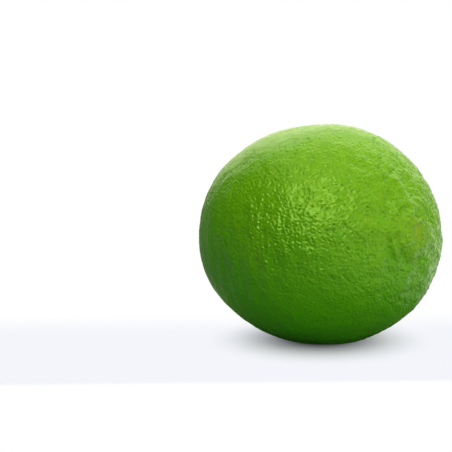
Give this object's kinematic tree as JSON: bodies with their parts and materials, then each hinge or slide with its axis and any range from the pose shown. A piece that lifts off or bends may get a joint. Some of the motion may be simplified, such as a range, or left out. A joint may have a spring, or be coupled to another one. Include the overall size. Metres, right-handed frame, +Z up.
{
  "type": "lime",
  "caption": "Whole lime, lying on its side on a small flat spot, with a nippled blossom end and a stem button in a ribbed hollow.",
  "frame": {"origin": "on the surface that the fruit lies on, under the middle of its bounding box", "axes": "+X along the fruit from its stem end to its blossom end, +Z up"},
  "size_m": [0.062, 0.0542, 0.0528],
  "materials": {
    "peel": "satin, waxy green citrus peel, yellower on top and deeper green below, with fine oil glands",
    "stem_button": "dry, matt, brown-green calyx and cut stalk"
  },
  "bodies": {
    "root": {"lime": "peel"}
  },
  "joints": []
}
